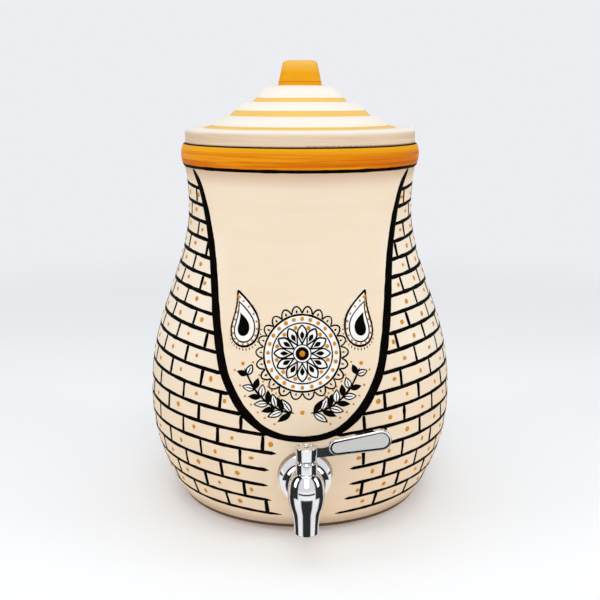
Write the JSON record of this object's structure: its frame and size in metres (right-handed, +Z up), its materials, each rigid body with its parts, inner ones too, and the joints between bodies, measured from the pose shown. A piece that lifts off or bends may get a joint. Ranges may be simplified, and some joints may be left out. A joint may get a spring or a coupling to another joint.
{
  "type": "clay water pot with tap",
  "caption": "Painted clay drinking-water pot with swelling belly, rolled rim, stepped lift-off lid and a chromed quarter-turn lever tap low on its front.",
  "frame": {"origin": "on the pot's axis, in the plane of the foot it stands on", "axes": "+Z up the pot's axis, -Y out through the tap, +X along the closed lever"},
  "size_m": [0.2474, 0.2805, 0.354],
  "materials": {
    "painted_clay": "smooth matt cream slip with painted bands and brickwork",
    "polished_chrome": "polished chrome plate",
    "satin_steel": "fine satin, bare",
    "washer_steel": "turned and plain",
    "plug_brass": "turned brass",
    "seal_rubber": "matt black rubber"
  },
  "bodies": {
    "root": {"pot_body": "painted_clay", "tap_body": "polished_chrome", "outer_washer": "seal_rubber", "inner_washer": "seal_rubber", "backing_washer": "washer_steel", "lock_nut": "washer_steel", "port_seal": "seal_rubber", "bonnet": "polished_chrome"},
    "lid": {"lid": "painted_clay"},
    "valve": {"valve_plug": "plug_brass", "plug_o_ring_lower": "seal_rubber", "plug_o_ring_upper": "seal_rubber", "lever": "polished_chrome", "lever_plate": "satin_steel", "handle_screw": "polished_chrome"}
  },
  "joints": [
    {"name": "lid_lift", "type": "slide", "parent": "root", "child": "lid", "axis": [0, 0, 1], "range_m": [0, 0.12]},
    {"name": "lever_turn", "type": "hinge", "parent": "root", "child": "valve", "pos_m": [0, -0.14347, 0.05581], "axis": [0, -0.0523, -0.9986], "range_deg": [0, 90]}
  ]
}
